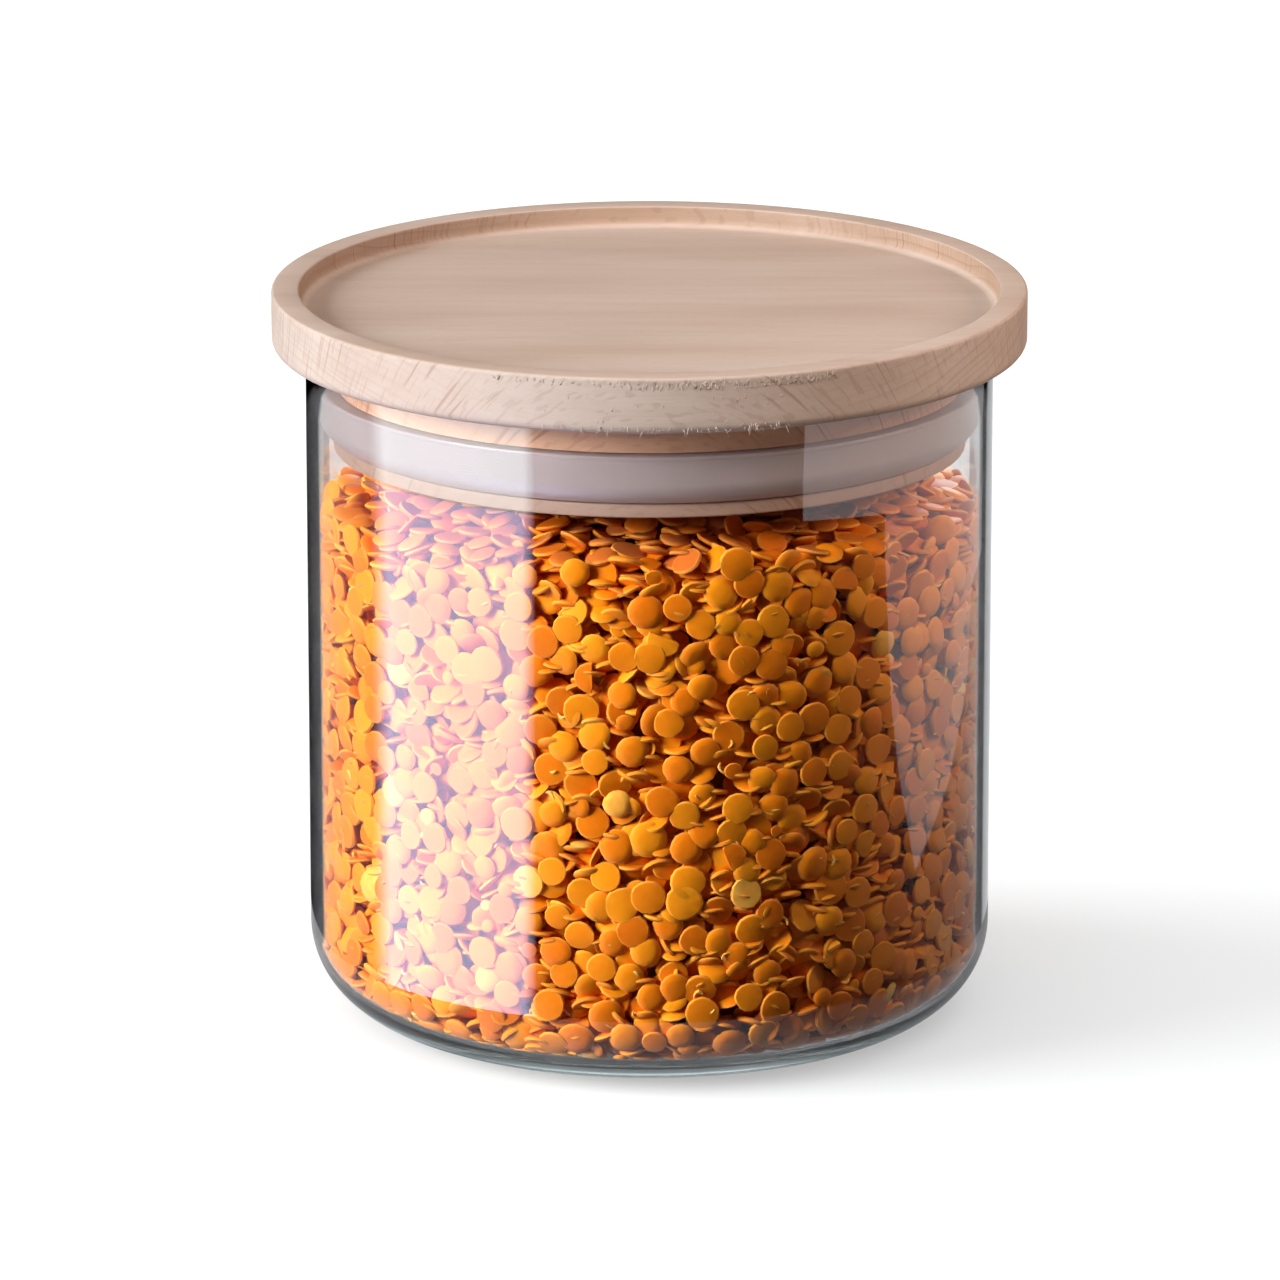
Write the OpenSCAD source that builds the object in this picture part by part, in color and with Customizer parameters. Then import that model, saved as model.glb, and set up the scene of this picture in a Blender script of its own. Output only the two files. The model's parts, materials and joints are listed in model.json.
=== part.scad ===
// Food canister: a straight glass jar, a turned wooden plug lid with a silicone
// sealing ring in its groove, and a filling of split lentils.
// Millimetres, +Z up, origin at the centre of the underside of the jar.
// Every piece is a body of rotation about Z, drawn as a half outline and turned.

/* [Jar] */
// Outside diameter of the glass
jar_d = 109.3; // [100:0.1:130]
// Height of the glass from its base to its rim
jar_h = 108.9; // [80:0.1:160]
// Thickness of the glass wall
wall_t = 1.9; // [1.6:0.1:3]
// Thickness of the glass floor
floor_t = 3; // [2.5:0.1:5]
// Outside radius of the heel, where the wall turns into the base
heel_r = 14; // [8:0.5:18]
// How much tighter the heel turns inside than an even wall would make it
heel_trim = 2; // [0:0.5:3]
// Depth of the shallow hollow under the base
punt_h = 0.8; // [0.3:0.1:1.5]
// Width of the flat ring that the jar stands on
foot_w = 9; // [4:0.5:12]

/* [Lid] */
// Thickness of the disc
disc_t = 9; // [7:0.5:14]
// How far the disc stands out past the glass
overhang = 5.35; // [2:0.05:10]
// Width of the raised rim around the top
rim_w = 4.4; // [3:0.1:8]
// Depth of the round recess in the top
recess_h = 3.4; // [2:0.1:5]
// Radius in the corner of the recess
recess_fillet = 1.5; // [0.5:0.1:1.9]
// Rounding of the disc's upper edge
disc_top_r = 0.5; // [0.2:0.1:1]
// Rounding of the disc's lower edge
disc_low_r = 1.5; // [0.5:0.1:2.5]
// Height of the neck between the disc and the sealing ring
neck_h = 5; // [2:0.1:8]
// Thickness of the flange under the sealing ring
flange_t = 2.3; // [1.5:0.1:5]
// Depth of the groove that holds the sealing ring, behind the flange's edge
groove_depth = 3.3; // [2:0.1:6]
// Gap between the neck and the glass
neck_gap = 1.75; // [0.8:0.05:3]
// Gap between the flange and the glass
flange_gap = 2.45; // [0.8:0.05:4]

/* [Sealing ring] */
// Height of the ring
seal_h = 7.8; // [5:0.1:12]
// Height of the taper at its foot, which leads it into the jar
lead_h = 2.2; // [1:0.1:4]
// How far the taper draws the foot of the ring in
lead_w = 1.6; // [0.5:0.1:1.8]
// Rounding of the ring's upper edge
seal_top_r = 0.3; // [0.1:0.1:0.8]

/* [Filling] */
// Height of the empty space between the lentils and the plug
headspace = 5.5; // [4.5:0.5:20]

/* [Fits] */
// Gap between the sealing ring and the glass
seal_gap = 0.2; // [0.1:0.05:0.4]
// Gap between the sealing ring and the floor of its groove
groove_fit = 0.08; // [0.05:0.01:0.1]
// Gap above and below the sealing ring in its groove
groove_play = 0.2; // [0.05:0.05:0.3]
// Gap between the rim of the glass and the underside of the disc
rim_gap = 0.1; // [0.05:0.05:0.3]
// Gap between the lentils and the glass
fill_gap = 0.3; // [0.2:0.1:0.6]

/* [Hidden] */
$fn = 96;
over = 1;                                        // how far a cutting shape runs past a face
jar_r = jar_d / 2;
bore_r = jar_r - wall_t;                         // inside of the glass
bore_heel_r = heel_r - wall_t - heel_trim;       // inside radius of the heel
punt_r = jar_r - heel_r - foot_w;                // edge of the hollow under the base
punt_ball_r = (punt_r * punt_r + punt_h * punt_h) / (2 * punt_h);
disc_z = jar_h + rim_gap;                        // underside of the disc
lid_r = jar_r + overhang;
lid_top_z = disc_z + disc_t;
recess_r = lid_r - rim_w;
recess_z = lid_top_z - recess_h;
neck_r = bore_r - neck_gap;
flange_r = bore_r - flange_gap;
groove_r = flange_r - groove_depth;
groove_top_z = disc_z - neck_h;
groove_z = groove_top_z - seal_h - 2 * groove_play;
plug_z = groove_z - flange_t;                    // underside of the plug
flange_edge_r = 0.4;
seal_r = bore_r - seal_gap;
seal_z = groove_z + groove_play;                 // foot of the sealing ring
fill_z = plug_z - headspace;                     // top of the lentils
fill_edge_r = 4;                                 // the lentils' surface falls off at the glass

// Cuts the outer corner at radius r and height z to a rounding of radius c.
// side is 1 for a corner at the top of an outline and -1 for one at its foot.
module corner(r, z, c, side) {
    difference() {
        translate([r - c, side > 0 ? z - c : z - over]) square(c + over);
        translate([r - c, z - side * c]) circle(c);
    }
}

// Half outline of a ring or disc from radius r0 to r1 and from height z0 to z1,
// with its outer corners rounded to low_c at the foot and top_c at the top.
module band(r0, r1, z0, z1, low_c = 0, top_c = 0) {
    difference() {
        translate([r0, z0]) square([r1 - r0, z1 - z0]);
        if (low_c > 0) corner(r1, z0, low_c, -1);
        if (top_c > 0) corner(r1, z1, top_c, 1);
    }
}

// The jar: a straight wall, a wide round heel, a rounded rim and a hollow base.
module glass_jar() {
    color([0.86, 0.92, 0.93, 0.35])
    rotate_extrude()
    difference() {
        union() {
            band(0, jar_r, 0, jar_h - wall_t / 2, heel_r);
            translate([jar_r - wall_t / 2, jar_h - wall_t / 2]) circle(wall_t / 2);
        }
        band(0, bore_r, floor_t, jar_h + over, bore_heel_r);
        intersection() {
            translate([0, punt_h - punt_ball_r]) circle(punt_ball_r, $fn = 960);
            translate([0, -over]) square([jar_r, punt_h + 2 * over]);
        }
    }
}

// The lid, turned from one board: a disc with a raised rim round a shallow
// recess, and under it a plug with a groove between its neck and its flange.
module lid() {
    color([0.84, 0.71, 0.56])
    rotate_extrude()
    difference() {
        union() {
            band(0, lid_r, disc_z, lid_top_z, disc_low_r, disc_top_r);
            band(0, neck_r, groove_top_z, disc_z + over);
            band(0, groove_r, groove_z - over, groove_top_z + over);
            band(0, flange_r, plug_z, groove_z, flange_edge_r, flange_edge_r);
        }
        band(0, recess_r, recess_z, lid_top_z + over, recess_fillet);
    }
}

// The sealing ring, a wide band that presses on the inside of the glass.
module seal_ring() {
    color([0.8, 0.8, 0.82])
    rotate_extrude()
    difference() {
        band(groove_r + groove_fit, seal_r, seal_z, seal_z + seal_h, 0, seal_top_r);
        polygon([
            [seal_r - lead_w, seal_z],
            [seal_r, seal_z + lead_h],
            [seal_r + over, seal_z + lead_h],
            [seal_r + over, seal_z - over],
            [seal_r - lead_w, seal_z - over],
        ]);
    }
}

// The room that the lentils take up, a little clear of the glass all round.
module lentil_fill() {
    color([0.9, 0.5, 0.1])
    rotate_extrude()
    band(0, bore_r - fill_gap, floor_t + fill_gap, fill_z, bore_heel_r - fill_gap, fill_edge_r);
}

glass_jar();
lid();
seal_ring();
lentil_fill();
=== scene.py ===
"""Looks of the food canister: clear glass, a turned beech lid, a silicone seal and red split lentils.

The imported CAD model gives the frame: every size below comes from it, or is a named detail size.
Lengths are in metres, except in the lentils' packing, which works in millimetres.
"""
import json
import math

import bpy
import numpy as np
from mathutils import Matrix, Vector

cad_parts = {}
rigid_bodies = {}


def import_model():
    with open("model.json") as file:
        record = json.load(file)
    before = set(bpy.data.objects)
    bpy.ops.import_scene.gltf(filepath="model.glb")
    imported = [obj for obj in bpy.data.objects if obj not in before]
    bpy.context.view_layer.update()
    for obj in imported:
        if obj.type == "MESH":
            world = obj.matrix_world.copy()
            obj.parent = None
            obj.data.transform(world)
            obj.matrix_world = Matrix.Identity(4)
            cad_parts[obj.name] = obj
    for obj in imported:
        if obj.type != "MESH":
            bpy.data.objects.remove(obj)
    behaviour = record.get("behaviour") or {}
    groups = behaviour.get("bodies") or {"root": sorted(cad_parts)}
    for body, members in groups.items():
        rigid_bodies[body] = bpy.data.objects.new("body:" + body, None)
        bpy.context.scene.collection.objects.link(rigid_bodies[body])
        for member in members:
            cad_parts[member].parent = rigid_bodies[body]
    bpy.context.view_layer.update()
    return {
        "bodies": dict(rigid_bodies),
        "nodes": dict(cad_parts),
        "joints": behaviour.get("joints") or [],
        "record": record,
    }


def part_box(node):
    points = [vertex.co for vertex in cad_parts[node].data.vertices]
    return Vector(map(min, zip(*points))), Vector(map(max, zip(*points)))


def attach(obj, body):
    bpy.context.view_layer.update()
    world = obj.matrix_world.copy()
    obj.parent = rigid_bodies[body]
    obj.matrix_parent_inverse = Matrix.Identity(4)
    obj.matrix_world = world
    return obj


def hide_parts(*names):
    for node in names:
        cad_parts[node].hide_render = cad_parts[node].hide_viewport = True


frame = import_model()

MM = 0.001
SEED = 20

# ---- sizes from the frame
jar_low, jar_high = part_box("glass_jar")
lid_low, lid_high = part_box("lid")
seal_low, seal_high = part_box("seal_ring")
fill_low, fill_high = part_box("lentil_fill")
mounts = {m["name"]: m for m in frame["record"]["mounts"]}

JAR_R = jar_high.x
JAR_H = jar_high.z
FILL_GAP = 0.3 * MM  # between the lentils and the glass
BORE_R = fill_high.x + FILL_GAP
FLOOR_Z = fill_low.z - FILL_GAP
WALL = JAR_R - BORE_R
HEEL_R = 14 * MM
HEEL_TRIM = 2 * MM  # how much tighter the heel turns inside than an even wall would make it
BORE_HEEL_R = HEEL_R - WALL - HEEL_TRIM
FOOT_W = 9 * MM  # width of the flat ring that the jar stands on
PUNT_R = JAR_R - HEEL_R - FOOT_W
PUNT_H = 0.8 * MM

LID_R = lid_high.x
LID_TOP = lid_high.z
RIM_GAP = 0.1 * MM  # between the rim of the glass and the disc
DISC_Z = JAR_H + RIM_GAP
RECESS_R = mounts["stack_recess"]["dims"]["r_mm"] * MM
RECESS_Z = mounts["stack_seat"]["pos_m"][2]
PLUG_Z = lid_low.z
NECK_GAP, FLANGE_GAP = 1.75 * MM, 2.45 * MM  # between the plug and the glass
NECK_R = BORE_R - NECK_GAP
FLANGE_R = BORE_R - FLANGE_GAP
GROOVE_DEPTH = 3.3 * MM
GROOVE_PLAY = 0.2 * MM  # above and below the sealing ring
GROOVE_FIT = 0.08 * MM  # between the sealing ring and the floor of its groove
FLANGE_TOP = seal_low.z - GROOVE_PLAY
GROOVE_TOP = seal_high.z + GROOVE_PLAY
GROOVE_R = FLANGE_R - GROOVE_DEPTH
SEAL_R = seal_high.x


# ---- mesh helpers
def arc(r, z, radius, start, end, steps=10):
    """Points on an arc round (r, z) from angle start to angle end, in degrees."""
    angles = np.radians(np.linspace(start, end, steps + 1))
    return [(r + radius * math.cos(a), z + radius * math.sin(a)) for a in angles]


def run(start, end, steps):
    """Evenly spaced points from start up to, and without, end."""
    return [tuple(np.array(start) + (np.array(end) - np.array(start)) * i / steps) for i in range(steps)]


def make_object(name, points, faces, smooth_below=None):
    """A mesh object, shaded smooth but for edges sharper than smooth_below degrees."""
    mesh = bpy.data.meshes.new(name)
    mesh.from_pydata([tuple(p) for p in points], [], faces)
    mesh.validate()
    mesh.shade_smooth()
    if smooth_below:
        mesh.set_sharp_from_angle(angle=math.radians(smooth_below))
    obj = bpy.data.objects.new(name, mesh)
    bpy.context.scene.collection.objects.link(obj)
    return obj


def lathe(name, outline, steps=256, smooth_below=40, shut=False):
    """Turns an outline of (radius, height) points about Z. Points on the axis become one point each.
    A shut outline is a ring's section, whose last point joins its first."""
    angles = np.linspace(0, 2 * math.pi, steps, endpoint=False)
    points, rings = [], []
    for r, z in outline:
        if r < 1e-9:
            rings.append([len(points)] * steps)
            points.append((0, 0, z))
        else:
            rings.append(list(range(len(points), len(points) + steps)))
            points += [(r * math.cos(a), r * math.sin(a), z) for a in angles]
    pairs = list(zip(rings, rings[1:] + rings[:1] if shut else rings[1:]))
    faces = []
    for low, high in pairs:
        for i in range(steps):
            j = (i + 1) % steps
            corners = [low[i], low[j], high[j], high[i]]
            faces.append(list(dict.fromkeys(corners)))
    return make_object(name, points, faces, smooth_below)


# ---- material helpers
class Nodes:
    """Builds one node material with short calls."""

    def __init__(self, name):
        self.mat = bpy.data.materials.new(name)
        self.mat.use_nodes = True
        self.tree = self.mat.node_tree
        self.shader = self.tree.nodes["Principled BSDF"]
        self.output = self.tree.nodes["Material Output"]

    def node(self, kind, **settings):
        """A node with its properties and inputs set: a name that is no property is an input."""
        made = self.tree.nodes.new(kind)
        for key, value in settings.items():
            if hasattr(made, key):
                setattr(made, key, value)
            else:
                made.inputs[key].default_value = value
        return made

    def link(self, source, target):
        self.tree.links.new(source, target)

    def feed(self, sockets, values):
        """Gives each socket its value: a number or a colour is set, and another node's socket is linked."""
        for socket, value in zip(sockets, values):
            if isinstance(value, (int, float)):
                socket.default_value = value
            elif isinstance(value, tuple):
                socket.default_value = (*value, 1.0)
            else:
                self.link(value, socket)

    def math(self, operation, a, b=0.0):
        made = self.node("ShaderNodeMath", operation=operation)
        self.feed(made.inputs, (a, b))
        return made.outputs[0]

    def coordinates(self):
        """The piece's own place in the row frame, in millimetres, as three sockets."""
        place = self.node("ShaderNodeTexCoord").outputs["Object"]
        scaled = self.node("ShaderNodeVectorMath", operation="SCALE", Scale=1 / MM)
        self.link(place, scaled.inputs[0])
        split = self.node("ShaderNodeSeparateXYZ")
        self.link(scaled.outputs[0], split.inputs[0])
        return scaled.outputs[0], split.outputs

    def combine(self, x, y, z):
        made = self.node("ShaderNodeCombineXYZ")
        self.feed(made.inputs, (x, y, z))
        return made.outputs[0]

    def stretch(self, operation, axes, amounts):
        """A place whose axes are each multiplied or divided by an amount of their own."""
        return self.combine(*[self.math(operation, axis, amount) for axis, amount in zip(axes, amounts)])

    def noise(self, vector, scale, detail=2.0):
        made = self.node("ShaderNodeTexNoise", Scale=scale, Detail=detail)
        self.link(vector, made.inputs["Vector"])
        return made.outputs["Fac"]

    def ramp(self, value, stops):
        """A colour that follows value along stops, a list of (position, colour)."""
        made = self.node("ShaderNodeValToRGB")
        elements = made.color_ramp.elements
        while len(elements) < len(stops):
            elements.new(1.0)
        for element, (position, colour) in zip(elements, stops):
            element.position = position
            element.color = (*colour, 1.0)
        self.link(value, made.inputs[0])
        return made.outputs[0]

    def mix(self, share, a, b, blend="MIX"):
        made = self.node("ShaderNodeMix", data_type="RGBA", blend_type=blend)
        self.feed((made.inputs[0], made.inputs[6], made.inputs[7]), (share, a, b))
        return made.outputs[2]

    def bump(self, height, distance, strength=1.0):
        made = self.node("ShaderNodeBump", Strength=strength, Distance=distance)
        self.link(height, made.inputs["Height"])
        return made.outputs["Normal"]


def band(nodes, value, low, high):
    """1 below low, falling smoothly to 0 at high."""
    made = nodes.node("ShaderNodeMapRange", interpolation_type="SMOOTHSTEP")
    nodes.feed(made.inputs, (value, low, high, 1.0, 0.0))
    return made.outputs["Result"]


# ---- beech
PITH_Y, PITH_Z = 20.0, -60.0  # where the tree's centre line runs under the board, in mm
RING_STEP = 1.35  # width of a year's growth, in mm
BEECH_PALE = (0.46, 0.355, 0.295)
BEECH_MID = (0.42, 0.315, 0.255)
BEECH_DEEP = (0.38, 0.275, 0.215)
BEECH_LATE = (0.25, 0.15, 0.10)
BEECH_RAY = (0.22, 0.115, 0.07)
RECESS_SHADE_TINT = (0.80, 0.68, 0.58)  # painted shade that darkens the wall of the recess
PLUG_BOUNCE_TINT = (1.62, 1.12, 0.86)  # painted warm bounce light from the lentils, brighter and browner, on the plug under the disc
# painted shade on the plug's flange and groove, low in the jar
FLANGE_SHADE_TINT = (0.55, 0.60, 0.66)


def beech_material():
    """Beech sawn flat from a trunk whose grain runs along X. Its colours follow the tree: rings at a steady
    radius from the pith, and rays that run outward from it, which show as fine lines where they are cut.
    Painted shade darkens the wall of the recess and the plug's flange, and painted bounce light brightens
    and warms the plug under the disc."""
    n = Nodes("beech")
    place, (x, y, z) = n.coordinates()
    slow_place = n.stretch("MULTIPLY", (x, y, z), (0.014, 0.03, 0.03))
    sway = n.math("MULTIPLY", n.math("SUBTRACT", n.noise(slow_place, 1.0, 2), 0.5), 9.0)
    dy = n.math("SUBTRACT", y, PITH_Y)
    dz = n.math("SUBTRACT", z, PITH_Z)
    reach = n.math("SQRT", n.math("ADD", n.math("MULTIPLY", dy, dy), n.math("MULTIPLY", dz, dz)))
    radius = n.math("ADD", reach, sway)
    round_tree = n.math("MULTIPLY", n.math("ARCTAN2", dz, dy), 170.0)

    # growth rings: a saw tooth that darkens sharply at each year's end
    years = n.math("DIVIDE", radius, RING_STEP)
    uneven = n.noise(n.combine(n.math("MULTIPLY", years, 0.35), n.math("MULTIPLY", x, 0.008), 0.0), 1.0, 1)
    year = n.math("FRACT", n.math("ADD", years, n.math("MULTIPLY", uneven, 2.4)))
    late = n.math("POWER", year, 6.0)
    strength = n.noise(n.combine(n.math("MULTIPLY", years, 0.21), n.math("MULTIPLY", x, 0.02), 3.0), 1.0, 1)
    late = n.math("MULTIPLY", late, n.ramp(strength, [(0.35, (0.25,) * 3), (0.65, (1,) * 3)]))

    # rays: sheets a hair thick that hold the grain and the outward direction, a few of them long
    short_place = n.stretch("DIVIDE", (x, radius, round_tree), (2.0, 8.0, 0.30))
    short_rays = n.math("SUBTRACT", 1.0, band(n, n.noise(short_place, 1.0, 0.0), 0.60, 0.72))
    long_place = n.stretch("DIVIDE", (x, radius, round_tree), (9.0, 26.0, 0.42))
    long_rays = n.math("SUBTRACT", 1.0, band(n, n.noise(long_place, 1.0, 0.0), 0.68, 0.76))

    # fibres: hair-thin strokes along the grain, in bundles
    fibre_place = n.stretch("DIVIDE", (x, y, z), (14.0, 0.30, 0.30))
    fibres = n.noise(fibre_place, 1.0, 2.0)
    bundle_place = n.stretch("DIVIDE", (x, y, z), (26.0, 2.4, 1.6))
    bundles = n.noise(bundle_place, 1.0, 2.0)

    # how far the surface faces along the grain, where rings and rays are cut across and show most
    facing = n.node("ShaderNodeSeparateXYZ")
    n.link(n.node("ShaderNodeTexCoord").outputs["Normal"], facing.inputs[0])
    along = n.math("ABSOLUTE", facing.outputs[0])
    upward = n.math("ABSOLUTE", facing.outputs[2])
    cut = n.math("SUBTRACT", 1.0, band(n, along, 0.30, 0.90))
    side = band(n, upward, 0.4, 0.8)

    # broad changes of colour across the board
    patch_place = n.stretch("MULTIPLY", (x, y, z), (0.011, 0.045, 0.06))
    patches = n.noise(patch_place, 1.0, 2.0)
    base = n.ramp(patches, [(0.32, BEECH_DEEP), (0.50, BEECH_MID), (0.70, BEECH_PALE)])
    ring_share = n.math("ADD", n.math("MULTIPLY", cut, 0.60), 0.07)
    base = n.mix(n.math("MULTIPLY", late, ring_share), base, BEECH_LATE)
    base = n.mix(n.math("MULTIPLY", band(n, bundles, 0.30, 0.62), 0.10), base, BEECH_LATE)
    base = n.mix(n.math("MULTIPLY", band(n, fibres, 0.30, 0.60), 0.09), base, BEECH_RAY)
    short_share = n.math("ADD", n.math("MULTIPLY", side, 0.16), 0.07)
    base = n.mix(n.math("MULTIPLY", short_rays, short_share), base, BEECH_RAY)
    crossed = n.math("MULTIPLY", side, n.math("SUBTRACT", 1.0, band(n, along, 0.10, 0.38)))
    base = n.mix(n.math("MULTIPLY", long_rays, n.math("MULTIPLY", crossed, 0.55)), base, BEECH_RAY)
    off_axis = n.math("SQRT", n.math("ADD", n.math("MULTIPLY", x, x), n.math("MULTIPLY", y, y)))
    # painted shade: the wall of the recess is darkened
    recess = n.math("MULTIPLY", band(n, off_axis, RECESS_R / MM, RECESS_R / MM + 0.4), side)
    recess = n.math("MULTIPLY", recess, n.math("GREATER_THAN", z, RECESS_Z / MM))
    base = n.mix(recess, base, RECESS_SHADE_TINT, "MULTIPLY")
    # painted bounce light: the plug under the disc is brightened and warmed
    plug = band(n, z, DISC_Z / MM - 0.3, DISC_Z / MM)
    base = n.mix(plug, base, PLUG_BOUNCE_TINT, "MULTIPLY")
    # painted shade: the flange and the groove are darkened
    foot = band(n, z, FLANGE_TOP / MM, GROOVE_TOP / MM)
    base = n.mix(foot, base, FLANGE_SHADE_TINT, "MULTIPLY")
    n.link(base, n.shader.inputs["Base Color"])

    grit = n.noise(place, 2.4, 3.0)
    height = n.math("ADD", n.math("MULTIPLY", fibres, 0.6), n.math("MULTIPLY", grit, 0.4))
    n.link(n.bump(height, 0.05 * MM, 0.5), n.shader.inputs["Normal"])
    n.link(n.math("ADD", n.math("MULTIPLY", fibres, 0.2), 0.5), n.shader.inputs["Roughness"])
    n.shader.inputs["Specular IOR Level"].default_value = 0.3
    return n.mat


# ---- glass
GLASS_CLEAR = (0.975, 0.988, 0.99)
GLASS_IOR = 1.47
GLASS_STEPS = 512


def glass_material(name, edge, gloss):
    """Clear glass. Lamps and soft light pass straight through it, so that they reach the lentils.
    edge is what a skin seen at a grazing angle lets through: a painted shade that draws the jar's outline
    dark.
    gloss is the share of the mirroring that is kept: less on the inside, where a white veil would hide the
    lentils."""
    n = Nodes(name)
    if edge < 1.0:
        # painted shade: the glass passes less light where it is seen at a grazing angle, darkening its
        # outline
        facing = n.node("ShaderNodeLayerWeight", Blend=0.5).outputs["Facing"]
        edge_shade = n.ramp(facing, [(0.72, GLASS_CLEAR), (0.78, tuple(edge * c for c in GLASS_CLEAR))])
        n.link(edge_shade, n.shader.inputs["Base Color"])
    else:
        n.shader.inputs["Base Color"].default_value = (*GLASS_CLEAR, 1)
    n.shader.inputs["Roughness"].default_value = 0.0
    n.shader.inputs["IOR"].default_value = GLASS_IOR
    n.shader.inputs["Transmission Weight"].default_value = 1.0
    bright = n.shader.outputs[0]
    if gloss < 1.0:
        bending = n.node("ShaderNodeBsdfRefraction", IOR=GLASS_IOR, Roughness=0.0)
        bending.inputs["Color"].default_value = (*GLASS_CLEAR, 1)
        weakened = n.node("ShaderNodeMixShader")
        n.feed(weakened.inputs, (gloss, bending.outputs[0], bright))
        bright = weakened.outputs[0]
        n.shader.inputs["Specular Tint"].default_value = (0, 0, 0, 1)
    passing = n.node("ShaderNodeBsdfTransparent")
    passing.inputs["Color"].default_value = (0.97, 0.98, 0.98, 1)
    path = n.node("ShaderNodeLightPath")
    soft = n.math("MAXIMUM", path.outputs["Is Shadow Ray"], path.outputs["Is Diffuse Ray"])
    mixed = n.node("ShaderNodeMixShader")
    n.feed(mixed.inputs, (soft, bright, passing.outputs[0]))
    n.link(mixed.outputs[0], n.output.inputs["Surface"])
    return n.mat


PUNT_STEPS, HEEL_STEPS, WALL_STEPS, RIM_STEPS = 12, 32, 12, 12
# Rows of faces from the middle of the underside to the top of the rim.
OUTER_RINGS = PUNT_STEPS + 1 + HEEL_STEPS + WALL_STEPS + 1 + RIM_STEPS // 2


def glass_outline():
    """Half section of the jar from the middle of its underside round the rim to the middle of its floor."""
    rise = WALL / 2
    ball = (PUNT_R ** 2 + PUNT_H ** 2) / (2 * PUNT_H)
    radii = [PUNT_R * i / PUNT_STEPS for i in range(PUNT_STEPS + 1)]
    outline = [(r, math.sqrt(ball ** 2 - r ** 2) - ball + PUNT_H) for r in radii]
    outline += arc(JAR_R - HEEL_R, HEEL_R, HEEL_R, -90, 0, HEEL_STEPS)
    outline += run((JAR_R, HEEL_R + 4 * MM), (JAR_R, JAR_H - rise), WALL_STEPS)
    outline += arc(JAR_R - rise, JAR_H - rise, rise, 0, 180, RIM_STEPS)
    outline += run((BORE_R, JAR_H - rise - 4 * MM), (BORE_R, FLOOR_Z + BORE_HEEL_R), WALL_STEPS)
    outline += arc(BORE_R - BORE_HEEL_R, FLOOR_Z + BORE_HEEL_R, BORE_HEEL_R, 0, -90, HEEL_STEPS)
    outline += [(0.5 * (BORE_R - BORE_HEEL_R), FLOOR_Z), (0.0, FLOOR_Z)]
    return outline


# ---- silicone
def silicone_material():
    """Milky, slightly grey silicone with a satin skin."""
    n = Nodes("milky_silicone")
    place = n.coordinates()[0]
    cloud = n.noise(place, 0.08, 3.0)
    colour = n.ramp(cloud, [(0.3, (0.325, 0.232, 0.216)), (0.7, (0.362, 0.262, 0.244))])
    n.link(colour, n.shader.inputs["Base Color"])
    n.shader.inputs["Subsurface Weight"].default_value = 0.35
    n.shader.inputs["Subsurface Radius"].default_value = (1.0, 0.9, 0.9)
    n.shader.inputs["Subsurface Scale"].default_value = 0.002
    speck = n.noise(place, 1.7, 2.0)
    n.link(n.math("ADD", n.math("MULTIPLY", speck, 0.15), 0.3), n.shader.inputs["Roughness"])
    n.link(n.bump(n.noise(place, 0.7, 2.0), 0.05 * MM, 0.4), n.shader.inputs["Normal"])
    return n.mat


LEAD_H, LEAD_W = 2.2 * MM, 1.6 * MM
LIP_H, LIP_W = 0.6 * MM, 0.06 * MM


def seal_outline():
    """Section of the sealing ring: a straight band with a thin lip along its top and a taper at its foot."""
    inner = GROOVE_R + GROOVE_FIT
    low, high = seal_low.z, seal_high.z
    foot = SEAL_R - LEAD_W
    outline = [(inner, high), (inner, low), (foot - 0.3 * MM, low)]
    outline += arc(foot - 0.3 * MM, low + 0.3 * MM, 0.3 * MM, -90, -30, 4)
    for step in range(1, 13):
        share = step / 12
        taper = (LEAD_W - 0.15 * MM) * (1 - share) ** 1.8
        outline.append((SEAL_R - LIP_W - taper, low + 0.3 * MM + share * (LEAD_H + 0.8 * MM)))
    outline += run((SEAL_R - LIP_W, low + LEAD_H + 1.5 * MM), (SEAL_R - LIP_W, high - LIP_H - 0.15 * MM), 5)
    outline += [(SEAL_R - LIP_W, high - LIP_H - 0.15 * MM), (SEAL_R, high - LIP_H)]
    outline += arc(SEAL_R - 0.3 * MM, high - 0.3 * MM, 0.3 * MM, 0, 90, 5)
    return outline


# ---- lid
LOW_C = 1.5 * MM  # rounding of the disc's lower edge


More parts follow.
